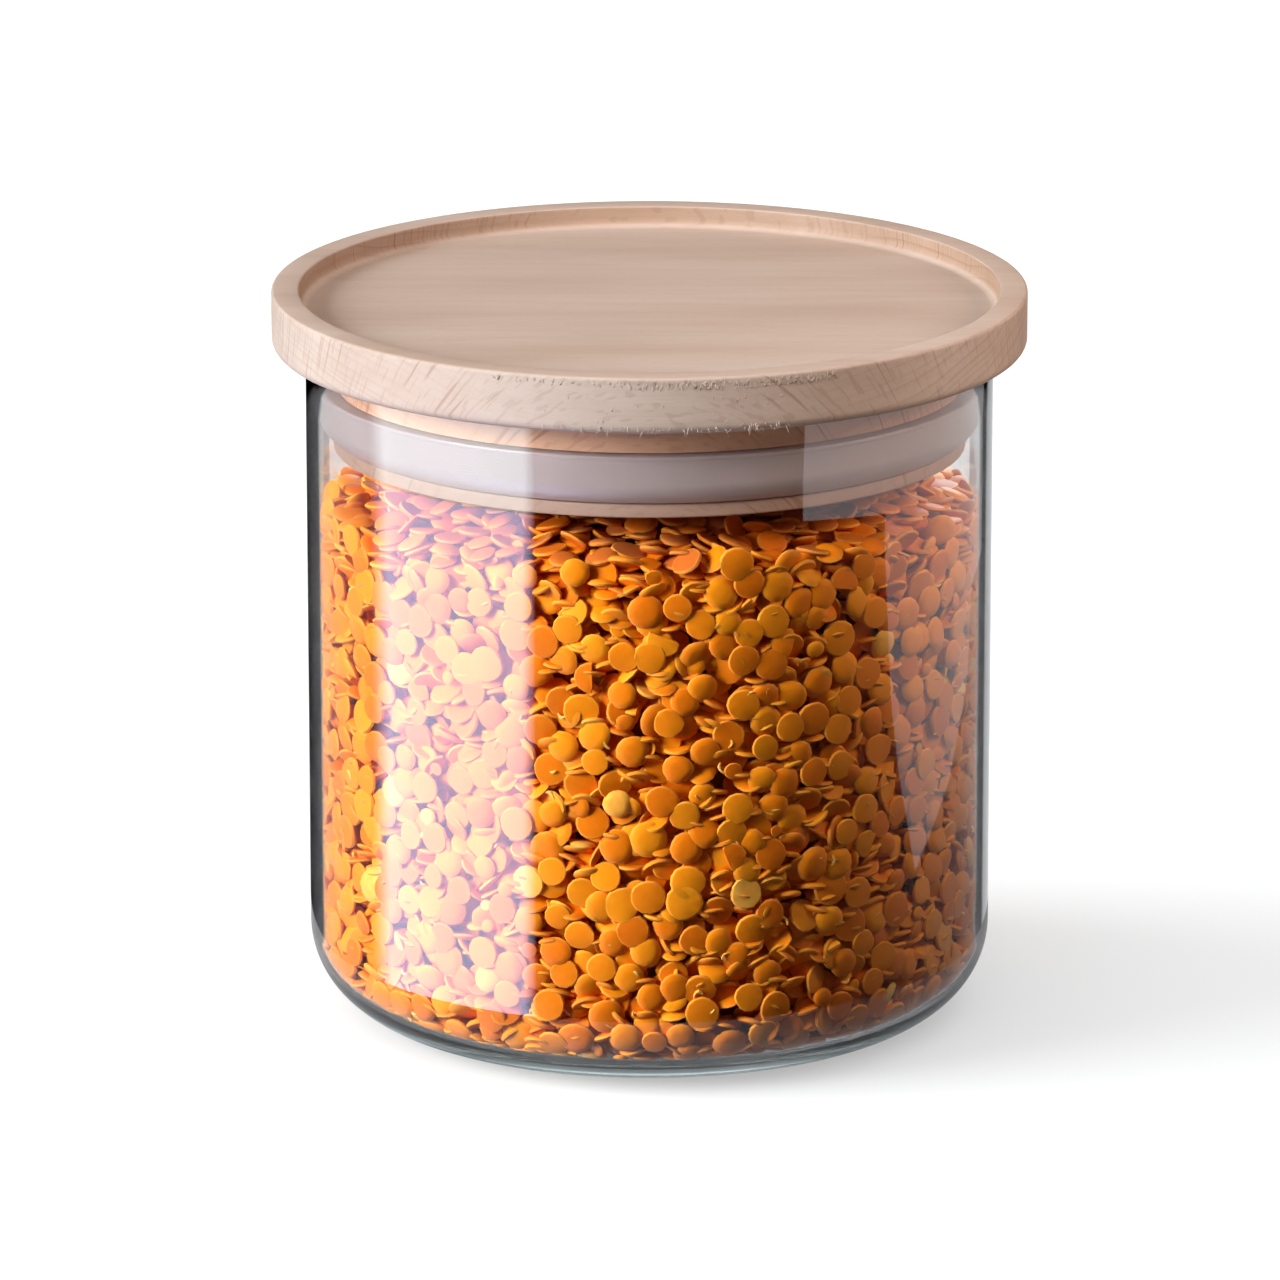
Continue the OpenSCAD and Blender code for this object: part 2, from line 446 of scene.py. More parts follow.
def lid_outline():
    """Half section of the lid, from the middle of its underside round its edge to the middle of its top."""
    top_c, low_c, fillet, edge = 0.5 * MM, LOW_C, 1.5 * MM, 0.35 * MM
    outline = [(0.0, RECESS_Z)]
    outline += run((10 * MM, RECESS_Z), (RECESS_R - fillet, RECESS_Z), 10)
    outline += arc(RECESS_R - fillet, RECESS_Z + fillet, fillet, -90, 0, 8)
    outline += arc(RECESS_R + edge, LID_TOP - edge, edge, 180, 90, 4)
    outline += arc(LID_R - top_c, LID_TOP - top_c, top_c, 90, 0, 5)
    outline += run((LID_R, LID_TOP - 2 * top_c), (LID_R, DISC_Z + low_c), 8)
    outline += arc(LID_R - low_c, DISC_Z + low_c, low_c, 0, -90, 8)
    outline += run((LID_R - 3 * MM, DISC_Z), (NECK_R, DISC_Z), 6)
    outline += run((NECK_R, DISC_Z), (NECK_R, GROOVE_TOP), 6)
    outline += run((NECK_R, GROOVE_TOP), (GROOVE_R, GROOVE_TOP), 4)
    outline += run((GROOVE_R, GROOVE_TOP), (GROOVE_R, FLANGE_TOP), 6)
    outline += run((GROOVE_R, FLANGE_TOP), (FLANGE_R - edge, FLANGE_TOP), 4)
    outline += arc(FLANGE_R - edge, FLANGE_TOP - edge, edge, 90, 0, 4)
    outline += arc(FLANGE_R - edge, PLUG_Z + edge, edge, 0, -90, 4)
    outline += run((FLANGE_R - 2 * MM, PLUG_Z), (8 * MM, PLUG_Z), 10)
    outline += [(0.0, PLUG_Z)]
    return outline[::-1]


# ---- fibres torn up by turning
FIBRE_SIDES, FIBRE_ROWS = 3, 4


def fibre_shape(rng, angle, height, length, width, rise):
    """Points and faces of one sliver of torn wood on the side of the disc, at an angle round the lid from the
    front. It runs up the side, or down where rise is -1, and curls a little way off it."""
    out = np.array((math.sin(angle), -math.cos(angle), 0.0))
    across = np.array((math.cos(angle), math.sin(angle), 0.0))
    lean = rng.normal(0, 0.5)
    along = np.array((0, 0, rise * math.cos(lean))) + math.sin(lean) * across
    drop = max(DISC_Z + LOW_C - height, 0.0)
    foot = out * (LID_R - LOW_C + math.sqrt(LOW_C ** 2 - drop ** 2)) + np.array((0, 0, height))
    curl = rng.uniform(0.08, 0.38) * length
    points = []
    for row in range(FIBRE_ROWS):
        share = row / (FIBRE_ROWS - 1)
        middle = foot + along * length * share + out * (curl * math.sin(2.2 * share) - 0.02 * MM)
        thick = width * (1 - 0.75 * share)
        for side in range(FIBRE_SIDES):
            turn = 2 * math.pi * side / FIBRE_SIDES
            points.append(middle + thick * (math.cos(turn) * across + 0.6 * math.sin(turn) * out))
    faces = [(2, 1, 0), (len(points) - 3, len(points) - 2, len(points) - 1)]
    for row in range(FIBRE_ROWS - 1):
        for side in range(FIBRE_SIDES):
            a, b = row * FIBRE_SIDES + side, row * FIBRE_SIDES + (side + 1) % FIBRE_SIDES
            faces.append((a, b, b + FIBRE_SIDES, a + FIBRE_SIDES))
    return points, faces


def torn_fibres(rng):
    """Slivers along the disc's edges, front and back, where the tool cut against the grain."""
    points, faces = [], []

    def strew(count, low_angle, high_angle, low_height, high_height, longest, rise=1):
        for k in range(count):
            angle = math.radians(rng.uniform(low_angle, high_angle))
            height = rng.uniform(low_height, high_height)
            length = rng.uniform(0.35, 1.0) * longest
            shape, rows = fibre_shape(rng, angle, height, length, rng.uniform(0.04, 0.09) * MM, rise)
            faces.extend([tuple(corner + len(points) for corner in face) for face in rows])
            points.extend(shape)

    for half_turn in (0, 180):
        strew(230, half_turn - 3, half_turn + 29, LID_TOP - 2.1 * MM, LID_TOP - 0.9 * MM, 1.2 * MM)
        strew(60, half_turn - 24, half_turn - 3, LID_TOP - 1.6 * MM, LID_TOP - 0.8 * MM, 0.9 * MM)
        strew(80, half_turn - 16, half_turn + 22, DISC_Z + 0.4 * MM, DISC_Z + 1.5 * MM, 1.3 * MM, -1)
        strew(35, half_turn - 16, half_turn + 22, DISC_Z + 1.3 * MM, LID_TOP - 3.0 * MM, 0.8 * MM)
    return make_object("lid_fibres", points, faces)


def fibre_material():
    """Bare beech fibres, paler than the polished face that they were torn from."""
    n = Nodes("torn_beech")
    place = n.coordinates()[0]
    colour = n.ramp(n.noise(place, 1.3, 2.0), [(0.35, (0.42, 0.32, 0.25)), (0.65, (0.60, 0.49, 0.41))])
    n.link(colour, n.shader.inputs["Base Color"])
    n.link(n.math("ADD", n.math("MULTIPLY", n.noise(place, 4.0), 0.2), 0.6), n.shader.inputs["Roughness"])
    n.shader.inputs["Specular IOR Level"].default_value = 0.2
    return n.mat


# ---- lentils, packed in millimetres
BORE = BORE_R / MM
FLOOR = FLOOR_Z / MM
CORNER = BORE_HEEL_R / MM
LENS_R = 2.5  # radius of a whole lentil
LAYER = 1.0  # thickness of one layer of lentils
LAYERS = 5  # layers along the glass and under the surface
SKIN = LAYER * LAYERS
SPACING = 3.55  # least distance between lentils laid in one layer
TRIES = 260000  # random places from which the layers are picked
LENTIL_CLEAR = 0.12  # least distance between a lentil and the glass
HEAP_TOP = 91.6  # height of the heap in the middle
HEAP_TOP_R = 28  # radius of its nearly level top
HEAP_DROP = 6.4  # how far it falls to the glass
HEAP_FRONT = 2.4  # how much higher it stands against the glass at the front
BALLS = np.array([(0, 0, 0.05)] + [(2.0 * math.cos(a), 2.0 * math.sin(a), -0.03)
                                   for a in np.radians(range(0, 360, 60))])
BALL_R = np.array([0.58] + [0.46] * 6)


def heap(x, y):
    """Height of the lentils' surface: a low heap that falls towards the glass, least at the front."""
    rho = np.hypot(x, y)
    fall = np.clip((rho - HEAP_TOP_R) / (BORE - HEAP_TOP_R), 0, 1)
    fall = fall * fall * (3 - 2 * fall)
    front = np.clip(-y / np.maximum(rho, 1e-6), 0, 1) ** 2
    return HEAP_TOP - fall * (HEAP_DROP - HEAP_FRONT * front)


def wall_depth(p):
    """How far points are inside the glass, and the direction that leads away from it."""
    rho = np.hypot(p[..., 0], p[..., 1])
    out = np.stack([p[..., 0], p[..., 1], np.zeros_like(rho)], -1) / np.maximum(rho, 1e-6)[..., None]
    up = np.array([0.0, 0.0, 1.0])
    side, low = BORE - rho, p[..., 2] - FLOOR
    dr, dz = rho - (BORE - CORNER), (FLOOR + CORNER) - p[..., 2]
    in_corner = (dr > 0) & (dz > 0)
    reach = np.maximum(np.hypot(dr, dz), 1e-6)
    depth = np.where(in_corner, CORNER - reach, np.minimum(side, low))
    round_way = (-out * dr[..., None] + up * dz[..., None]) / reach[..., None]
    flat_way = np.where((side < low)[..., None], -out, up)
    return depth, np.where(in_corner[..., None], round_way, flat_way)


def near_pairs(p, reach):
    """Index pairs of the points that lie closer to each other than reach."""
    cell = np.floor((p - p.min(0)) / reach).astype(np.int64) + 1
    size = cell.max(0) + 2
    key = (cell[:, 0] * size[1] + cell[:, 1]) * size[2] + cell[:, 2]
    order = np.argsort(key, kind="stable")
    ranked = key[order]
    firsts, seconds = [], []
    steps = [(a, b, c) for a in (-1, 0, 1) for b in (-1, 0, 1) for c in (-1, 0, 1) if (a, b, c) >= (0, 0, 0)]
    for a, b, c in steps:
        want = key + (a * size[1] + b) * size[2] + c
        low, high = np.searchsorted(ranked, want, "left"), np.searchsorted(ranked, want, "right")
        count = high - low
        i = np.repeat(np.arange(len(p)), count)
        within = np.arange(len(i)) - np.repeat(np.cumsum(count) - count, count)
        j = order[np.repeat(low, count) + within]
        if (a, b, c) == (0, 0, 0):
            i, j = i[i < j], j[i < j]
        close = ((p[i] - p[j]) ** 2).sum(1) < reach * reach
        firsts.append(i[close])
        seconds.append(j[close])
    return np.concatenate(firsts), np.concatenate(seconds)


def frames_from(normals, spin):
    """Turning matrices whose third column is each normal, spun about it."""
    helper = np.where(np.abs(normals[:, 2:3]) < 0.9, [[0.0, 0.0, 1.0]], [[1.0, 0.0, 0.0]])
    a = np.cross(helper, normals)
    a /= np.linalg.norm(a, axis=1, keepdims=True)
    b = np.cross(normals, a)
    c, s = np.cos(spin)[:, None], np.sin(spin)[:, None]
    return np.stack([a * c + b * s, b * c - a * s, normals], 2)


def thin(p, spacing):
    """Which points to keep, taken in order, so that none lies within spacing of another."""
    one, two = near_pairs(p, spacing)
    first, second = np.minimum(one, two), np.maximum(one, two)
    waiting, chosen = np.ones(len(p), bool), np.zeros(len(p), bool)
    while waiting.any():
        rival = waiting[first] & waiting[second]
        new = waiting.copy()
        new[second[rival]] = False
        chosen |= new
        waiting[new] = False
        waiting[second[new[first]]] = False
        waiting[first[new[second]]] = False
    return chosen


SMALL_SHARE = 0.05  # lentils that are only small bits
TOP_DEPTH = 9  # how far below the surface fewer of them lie flat on the glass
FLAT_SHARES = (0.76, 0.50)  # how many lie flat on the glass, in the outer layer and deeper
GLASS_LEANS = (0.15, 0.28)  # how far those lean off it
LEVEL_BELOW, LEVEL_LEAN = 0.97, 0.32  # nearly all others lie almost level


def scatter_lentils(rng):
    """Lentils laid in layers along the glass and under the surface: places, turning matrices and sizes."""
    p = rng.uniform((-BORE, -BORE, FLOOR), (BORE, BORE, HEAP_TOP), (TRIES, 3))
    depth, away = wall_depth(p)
    under = heap(p[:, 0], p[:, 1]) - p[:, 2]
    inside = np.minimum(depth, under)
    away = np.where((under < depth)[:, None], [[0.0, 0.0, -1.0]], away)
    layer = np.floor(inside / LAYER).astype(int)
    keep = (inside > 0) & (layer < LAYERS)
    p, away, layer, under, inside = p[keep], away[keep], layer[keep], under[keep], inside[keep]
    p += ((layer + 0.5) * LAYER - inside)[:, None] * away
    picked = []
    for k in range(LAYERS):
        members = np.flatnonzero(layer == k)
        picked.append(members[thin(p[members], SPACING)])
    picked = np.concatenate(picked)
    p, away, layer, under = p[picked], away[picked], layer[picked], under[picked]
    count = len(p)
    size = rng.normal(1.0, 0.085, count).clip(0.78, 1.17)
    small = rng.random(count) < SMALL_SHARE
    size[small] = rng.uniform(0.35, 0.65, small.sum())
    way = rng.normal(0, 1, (count, 3))
    kind = rng.random(count)
    near_top = np.clip(1 - under / TOP_DEPTH, 0, 1)
    flat_share = np.where(layer == 0, *FLAT_SHARES) * (1 - 0.6 * near_top)
    flat_on_glass = kind < flat_share
    level = ~flat_on_glass & (kind < LEVEL_BELOW)
    loose = np.where(layer == 0, *GLASS_LEANS)[:, None]
    way[flat_on_glass] = (away + loose * way)[flat_on_glass]
    way[level] = np.array([0, 0, 1.0]) + LEVEL_LEAN * way[level]
    way /= np.linalg.norm(way, axis=1, keepdims=True)
    way *= np.where(rng.random(count) < 0.5, 1, -1)[:, None]
    return p, frames_from(way, rng.uniform(0, 2 * math.pi, count)), size


INERTIA = 1.3  # how hard a lentil of full size is to turn
PAIR_ROUNDS = 8  # rounds between two searches for neighbours
PAIR_REACH = 2 * LENS_R * 1.12
CARRIED = 0.42  # share of each round's pushes that is carried out
MOST_TURN, MOST_PUSH = 0.2, 0.5
SINK, SINK_SHARE = 0.015, 0.7  # how far they sink in a round, and in what share of the rounds


def settle(p, frames, size, rounds):
    """Pushes touching lentils apart and lets them sink, each as a disc of seven balls."""
    offsets = BALLS[None] * size[:, None, None]
    radii = BALL_R[None] * size[:, None]
    inertia = INERTIA * size ** 2
    for turn in range(rounds):
        if turn % PAIR_ROUNDS == 0:
            one, two = near_pairs(p, PAIR_REACH)
        arm = np.einsum("nij,nkj->nki", frames, offsets)
        balls = (p[:, None] + arm).astype(np.float32)
        gap = balls[one][:, :, None] - balls[two][:, None]
        square = np.einsum("pabi,pabi->pab", gap, gap)
        both = (radii[one][:, :, None] + radii[two][:, None]).astype(np.float32)
        pair, a, b = np.nonzero(square < both * both)
        i, j = one[pair], two[pair]
        far = np.sqrt(square[pair, a, b]).clip(1e-4)
        way = gap[pair, a, b] / far[:, None]
        deep = both[pair, a, b] - far
        move, spin = np.zeros_like(p), np.zeros_like(p)

        def push(who, ball, direction, amount):
            lever = np.cross(arm[who, ball], direction)
            for axis in range(3):
                move[:, axis] += np.bincount(who, direction[:, axis] * amount, len(p))
                spin[:, axis] += np.bincount(who, lever[:, axis] * amount / inertia[who], len(p))

        def ease(who, ball, direction):
            lever = np.cross(arm[who, ball], direction)
            return 1 + (lever ** 2).sum(1) / inertia[who]

        share = deep / (ease(i, a, way) + ease(j, b, way))
        push(i, a, way, share)
        push(j, b, -way, share)

        depth, away = wall_depth(balls)
        who, ball = np.nonzero(depth < radii)
        direction = away[who, ball]
        push(who, ball, direction, (radii - depth)[who, ball] / ease(who, ball, direction))
        bed = heap(balls[..., 0], balls[..., 1]) - SKIN
        inward, below = depth + radii - SKIN, bed + radii - balls[..., 2]
        who, ball = np.nonzero((inward > 0) & (below > 0))
        out = (inward < below)[who, ball]
        direction = np.where(out[:, None], -away[who, ball], [[0.0, 0.0, 1.0]])
        amount = np.where(out, inward[who, ball], below[who, ball]).clip(0, MOST_PUSH)
        push(who, ball, direction, amount / ease(who, ball, direction))

        p += CARRIED * move
        if turn < SINK_SHARE * rounds:
            p[:, 2] -= SINK
        angle = (CARRIED * spin).clip(-MOST_TURN, MOST_TURN)
        turned = frames + np.cross(angle[:, None], frames.transpose(0, 2, 1)).transpose(0, 2, 1)
        x = turned[..., 0] / np.linalg.norm(turned[..., 0], axis=1, keepdims=True)
        z = turned[..., 2] - x * (x * turned[..., 2]).sum(1, keepdims=True)
        z /= np.linalg.norm(z, axis=1, keepdims=True)
        frames = np.stack([x, np.cross(z, x), z], 2)
    return p, frames


LENS_RINGS = [(0.50, 0.225, 0), (0.87, 0.135, 0), (1.0, -0.02, 1), (0.94, -0.14, 0.7), (0.85, -0.165, 0)]
LENS_TOP, LENS_FOOT = 0.245, -0.15  # LENS_RINGS holds radius, height and wear, domed side first
LENS_STEPS = 14
WHOLE_SHAPES, BROKEN_SHAPES = 10, 3
BROKEN_SHARE = 0.05
TURN = 6.28  # a full turn in radians, near enough for a random one
TONES = (0.2, 0.7)
PALE_SHARE, PALE_TONES = 0.03, (0.75, 0.9)
TOP_SHADE_FROM, TOP_SHADE_BAND, TOP_SHADE_STRENGTH = 84, 5, 0.45  # painted shade: lentils near the surface, under the lid, are darkened


def lens_shape(rng, broken):
    """Points, wear and triangles of one split lentil of radius 1: domed above, nearly flat below."""
    angles = np.linspace(0, 2 * math.pi, LENS_STEPS, endpoint=False)
    wobble = sum(rng.normal(0, 0.045 / k) * np.cos(k * angles + rng.uniform(0, TURN)) for k in (1, 2, 3, 4))
    edge = 1 + wobble + rng.normal(0, 0.010, LENS_STEPS)
    points, wear = [(0, 0, LENS_TOP)], [0.0]
    for radius, height, worn in LENS_RINGS:
        for a, e in zip(angles, edge):
            points.append((radius * e * math.cos(a), radius * e * math.sin(a), height))
        wear += [worn] * LENS_STEPS
    points.append((0, 0, LENS_FOOT))
    wear.append(0.0)
    points = np.array(points)
    points[:, 2] *= rng.uniform(0.85, 1.15)
    points[:, 2] += 0.035 * (points[:, 0] ** 2 - points[:, 1] ** 2) * rng.normal()
    points[1:-1, 2] += rng.normal(0, 0.006, len(points) - 2)
    if broken:
        points[:, 0] = np.minimum(points[:, 0], rng.uniform(0.0, 0.45) + 0.1 * points[:, 1])
    last = len(points) - 1
    rings = [np.arange(LENS_STEPS) + 1 + LENS_STEPS * k for k in range(len(LENS_RINGS))]
    triangles = [(0, rings[0][i], rings[0][(i + 1) % LENS_STEPS]) for i in range(LENS_STEPS)]
    for upper, lower in zip(rings, rings[1:]):
        for i in range(LENS_STEPS):
            j = (i + 1) % LENS_STEPS
            triangles += [(upper[i], lower[i], lower[j]), (upper[i], lower[j], upper[j])]
    triangles += [(last, rings[-1][(i + 1) % LENS_STEPS], rings[-1][i]) for i in range(LENS_STEPS)]
    return points, np.array(wear), np.array(triangles)


GERM_BENDS, GERM_SIDES = 6, 5
GERMS = 240
GERM_TONE = 0.88


def germ_shape(rng):
    """Points, wear and triangles of one loose germ: a short curled thread, thin at its ends."""
    curl = rng.uniform(0.6, 1.3)
    sweep = rng.uniform(1.2, 2.6)
    points = []
    for share in np.linspace(0, 1, GERM_BENDS):
        thick = rng.uniform(0.20, 0.28) * (0.35 + 0.65 * math.sin(math.pi * (0.08 + 0.84 * share)))
        turn = sweep * share
        for side in np.linspace(0, 2 * math.pi, GERM_SIDES, endpoint=False):
            reach = curl + thick * math.cos(side)
            points.append((reach * math.cos(turn) - curl, reach * math.sin(turn), thick * math.sin(side)))
    triangles = []
    for row in range(GERM_BENDS - 1):
        for side in range(GERM_SIDES):
            a, b = row * GERM_SIDES + side, row * GERM_SIDES + (side + 1) % GERM_SIDES
            triangles += [(a, b, b + GERM_SIDES), (a, b + GERM_SIDES, a + GERM_SIDES)]
    end = (GERM_BENDS - 1) * GERM_SIDES
    triangles += [(0, k + 1, k) for k in range(1, GERM_SIDES - 1)]
    triangles += [(end, end + k, end + k + 1) for k in range(1, GERM_SIDES - 1)]
    return np.array(points), np.zeros(len(points)), np.array(triangles)


def clear_of_glass(points):
    """Moves one lentil's points inward together until none is nearer to the glass than it may be."""
    for attempt in range(2):
        depth, away = wall_depth(points)
        worst = depth.argmin()
        if depth[worst] < LENTIL_CLEAR:
            points = points + (LENTIL_CLEAR - depth[worst]) * away[worst]
    return points


def bits_object(name, shapes, tones, material):
    """One mesh of many small pieces. shapes lists their placed points in mm, wear and triangles."""
    points, wears, triangles, start = [], [], [], 0
    for placed, wear, faces in shapes:
        points.append(placed)
        wears.append(wear)
        triangles.append(faces + start)
        start += len(placed)
    points = np.concatenate(points) * MM
    triangles = np.concatenate(triangles)
    mesh = bpy.data.meshes.new(name)
    mesh.vertices.add(len(points))
    mesh.vertices.foreach_set("co", points.astype(np.float32).ravel())
    mesh.loops.add(triangles.size)
    mesh.loops.foreach_set("vertex_index", triangles.astype(np.int32).ravel())
    mesh.polygons.add(len(triangles))
    mesh.polygons.foreach_set("loop_start", np.arange(0, triangles.size, 3, dtype=np.int32))
    mesh.update(calc_edges=True)
    mesh.shade_smooth()
    mesh.set_sharp_from_angle(angle=math.radians(40))
    tones = np.concatenate([np.full(len(wear), tone) for wear, tone in zip(wears, tones)])
    for label, values in (("tone", tones), ("wear", np.concatenate(wears))):
        layer = mesh.attributes.new(label, "FLOAT", "POINT")
        layer.data.foreach_set("value", values.astype(np.float32))
    mesh.materials.append(material)
    obj = bpy.data.objects.new(name, mesh)
    bpy.context.scene.collection.objects.link(obj)
    return obj


def lentil_objects(rng, p, frames, size, parts, material):
    """The lentils as meshes, one for each slice of the jar, with a tone of its own on each lentil, lowered
    near the surface as painted shade.
    """
    shapes = [lens_shape(rng, k >= WHOLE_SHAPES) for k in range(WHOLE_SHAPES + BROKEN_SHAPES)]
    broken = rng.random(len(p)) < BROKEN_SHARE
    broken_kind = rng.integers(WHOLE_SHAPES, len(shapes), len(p))
    kind = np.where(broken, broken_kind, rng.integers(0, WHOLE_SHAPES, len(p)))
    tone = rng.uniform(*TONES, len(p))
    tone = np.where(rng.random(len(p)) < PALE_SHARE, rng.uniform(*PALE_TONES, len(p)), tone)
    # painted shade: the tone of lentils near the surface is lowered
    tone -= TOP_SHADE_STRENGTH * np.clip((p[:, 2] - TOP_SHADE_FROM) / TOP_SHADE_BAND, 0, 1)
    slices = np.argsort(np.arctan2(p[:, 1], p[:, 0]), kind="stable")
    objects = []
    for number, members in enumerate(np.array_split(slices, parts)):
        placed = []
        for k in members:
            points, wear, faces = shapes[kind[k]]
            placed.append((clear_of_glass(points * LENS_R * size[k] @ frames[k].T + p[k]), wear, faces))
        objects.append(bits_object(f"lentils_{number + 1:02d}", placed, tone[members], material))
    return objects


def germ_object(rng, p, material):
    """Loose germs, the small pale threads that lie between the lentils next to the glass."""
    depth, away = wall_depth(p)
    outer = np.flatnonzero(depth < LAYER)
    picked = rng.choice(outer, GERMS, replace=False)
    lean = 0.3 * rng.normal(0, 1, (GERMS, 3))
    frames = frames_from(away[picked] + lean, rng.uniform(0, TURN, GERMS))
    placed = []
    for k, frame in zip(picked, frames):
        points, wear, faces = germ_shape(rng)
        beside = frame[:, :2] @ rng.normal(0, 1.6, 2)
        spot = p[k] + beside - away[k] * (depth[k] - 0.3)
        placed.append((clear_of_glass(points @ frame.T + spot), wear, faces))
    return bits_object("germ_bits", placed, np.full(GERMS, GERM_TONE), material)


# The lowest stop, a deep red-brown, is reached only by the painted shade near the surface and by the bed,
# which has no tone.
LENTIL_TONES = [(0.0, (0.44, 0.105, 0.022)), (0.2, (0.68, 0.14, 0.003)), (0.45, (0.80, 0.205, 0.004)),
                (0.70, (0.88, 0.27, 0.006)), (0.85, (0.90, 0.42, 0.07)), (1.0, (0.86, 0.60, 0.22))]
LENTIL_RIM = (0.93, 0.45, 0.08)


def lentil_material():
    """Dull orange lentils: each has its own tone, paler at its rim, with faint mottling. The tone also
    carries painted shade on the lentils near the surface.
    """
    n = Nodes("red_lentils")
    place = n.coordinates()[0]
    tone = n.node("ShaderNodeAttribute", attribute_name="tone").outputs["Fac"]
    wear = n.node("ShaderNodeAttribute", attribute_name="wear").outputs["Fac"]
    mottle = n.noise(place, 0.9, 3.0)
    value = n.math("ADD", tone, n.math("MULTIPLY", n.math("SUBTRACT", mottle, 0.5), 0.15))
    colour = n.ramp(value, LENTIL_TONES)
    colour = n.mix(n.math("MULTIPLY", wear, 0.40), colour, LENTIL_RIM)
    n.link(colour, n.shader.inputs["Base Color"])
    n.link(n.math("ADD", n.math("MULTIPLY", mottle, 0.25), 0.38), n.shader.inputs["Roughness"])
    n.shader.inputs["Specular IOR Level"].default_value = 0.15
    n.shader.inputs["Specular Tint"].default_value = (1.0, 0.55, 0.12, 1)
    n.shader.inputs["Subsurface Weight"].default_value = 0.2
    n.shader.inputs["Subsurface Radius"].default_value = (1.0, 0.4, 0.1)
    n.shader.inputs["Subsurface Scale"].default_value = 0.0012
    n.link(n.bump(n.noise(place, 1.6, 3.0), 0.06 * MM, 0.4), n.shader.inputs["Normal"])
    return n.mat


def bed_outline():
    """Half section of the bed that the lentils' outer layers lie on."""
    skin, low = (SKIN + 0.5) * MM, BORE_HEEL_R
    outline = [(0.0, FLOOR_Z + skin)]
    outline += arc(BORE_R - low, FLOOR_Z + low, low - skin, -90, 0, 8)
    r = BORE_R - skin
    rim_z = (heap(0, BORE) - SKIN - 1.5) * MM
    outline += run((r, FLOOR_Z + low + 4 * MM), (r, rim_z), 14)
    for share in np.linspace(1, 0, 12):
        rho = share * r
        outline.append((rho, (heap(0, rho / MM) - SKIN - 1.5) * MM))
    return outline


# ---- build the pieces
SLICES = 12
QUICK_ROUNDS, FULL_ROUNDS = 12, 60
rng = np.random.default_rng(SEED)

beech = beech_material()
lid = lathe("lid_wood", lid_outline(), 384, 35)
lid.data.materials.append(beech)
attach(lid, "lid")
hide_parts("lid")

slivers = torn_fibres(rng)
slivers.data.materials.append(fibre_material())
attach(slivers, "lid")
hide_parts("lid")

seal = lathe("seal_band", seal_outline(), 384, 20, shut=True)
seal.data.materials.append(silicone_material())
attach(seal, "seal")
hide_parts("seal_ring")

glass = lathe("jar_glass", glass_outline(), GLASS_STEPS, 60)
glass.data.materials.append(glass_material("glass_outside", 0.6, 1.0))
glass.data.materials.append(glass_material("glass_inside", 1.0, 0.75))
for number, polygon in enumerate(glass.data.polygons):
    polygon.material_index = int(number // GLASS_STEPS >= OUTER_RINGS)
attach(glass, "jar")
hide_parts("glass_jar")

lentil = lentil_material()
spots, turns, sizes = scatter_lentils(rng)
spots, turns = settle(spots, turns, sizes, FULL_ROUNDS)
pile = lentil_objects(rng, spots, turns, sizes, SLICES, lentil)
pile.append(germ_object(rng, spots, lentil))
for piece in pile:
    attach(piece, "jar")
    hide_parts("lentil_fill")

bed = lathe("lentil_bed", bed_outline(), 96, 60)
bed.data.materials.append(lentil)
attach(bed, "jar")
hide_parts("lentil_fill")


# ---- floor, light and camera
def polar(azimuth, distance, height):
    """A point round the jar. Azimuth 0 is the camera's side, and it grows towards the camera's left."""
    a = math.radians(azimuth)
    return (-distance * math.sin(a), -distance * math.cos(a), height)


def seen_only_by(obj, *kinds):
    """Hides a piece of the stage from all but some kinds of ray."""
    for kind in ("camera", "diffuse", "glossy", "transmission", "shadow"):
        setattr(obj, "visible_" + kind, kind in kinds)


def floor_material():
    """White paper. It glows a little for the camera alone, so that it photographs pure white."""
    n = Nodes("white_floor")
    n.shader.inputs["Base Color"].default_value = (0.295, 0.302, 0.305, 1)
    n.shader.inputs["Roughness"].default_value = 0.8
    n.shader.inputs["Specular IOR Level"].default_value = 0.0
    n.shader.inputs["Emission Color"].default_value = (1, 1, 1, 1)
    to_camera = n.node("ShaderNodeLightPath").outputs["Is Camera Ray"]
    n.link(n.math("MULTIPLY", to_camera, FLOOR_GLOW), n.shader.inputs["Emission Strength"])
    return n.mat


def glow_material(name, colour):
    """Light of one colour, as strong as the attribute glow says at each point."""
    n = Nodes(name)
    n.tree.nodes.remove(n.shader)
    light = n.node("ShaderNodeEmission")
    light.inputs["Color"].default_value = (*colour, 1)
    n.link(n.node("ShaderNodeAttribute", attribute_name="glow").outputs["Fac"], light.inputs["Strength"])
    n.link(light.outputs[0], n.output.inputs["Surface"])
    return n.mat


def shine(sheet, glows, colour, rays):
    """Makes a sheet glow, as strongly as glows says at its points, for some kinds of ray alone."""
    layer = sheet.data.attributes.new("glow", "FLOAT", "POINT")
    layer.data.foreach_set("value", glows)
    sheet.data.materials.append(glow_material(sheet.name, colour))
    seen_only_by(sheet, *rays)


def card(name, distance, top, edge, colour, rays=("glossy",)):
    """A bright card bent round the jar. edge lists (azimuth, lowest height, glow) along it."""
    corners, low_edge, glows = zip(*edge)
    azimuths = sorted({*corners, *np.arange(corners[0], corners[-1], 2.0)})
    low = [polar(azimuth, distance, np.interp(azimuth, corners, low_edge)) for azimuth in azimuths]
    high = [polar(azimuth, distance, top) for azimuth in azimuths]
    count = len(azimuths)
    faces = [(i, i + 1, i + 1 + count, i + count) for i in range(count - 1)]
    shine(make_object(name, low + high, faces), list(np.interp(azimuths, corners, glows)) * 2, colour, rays)


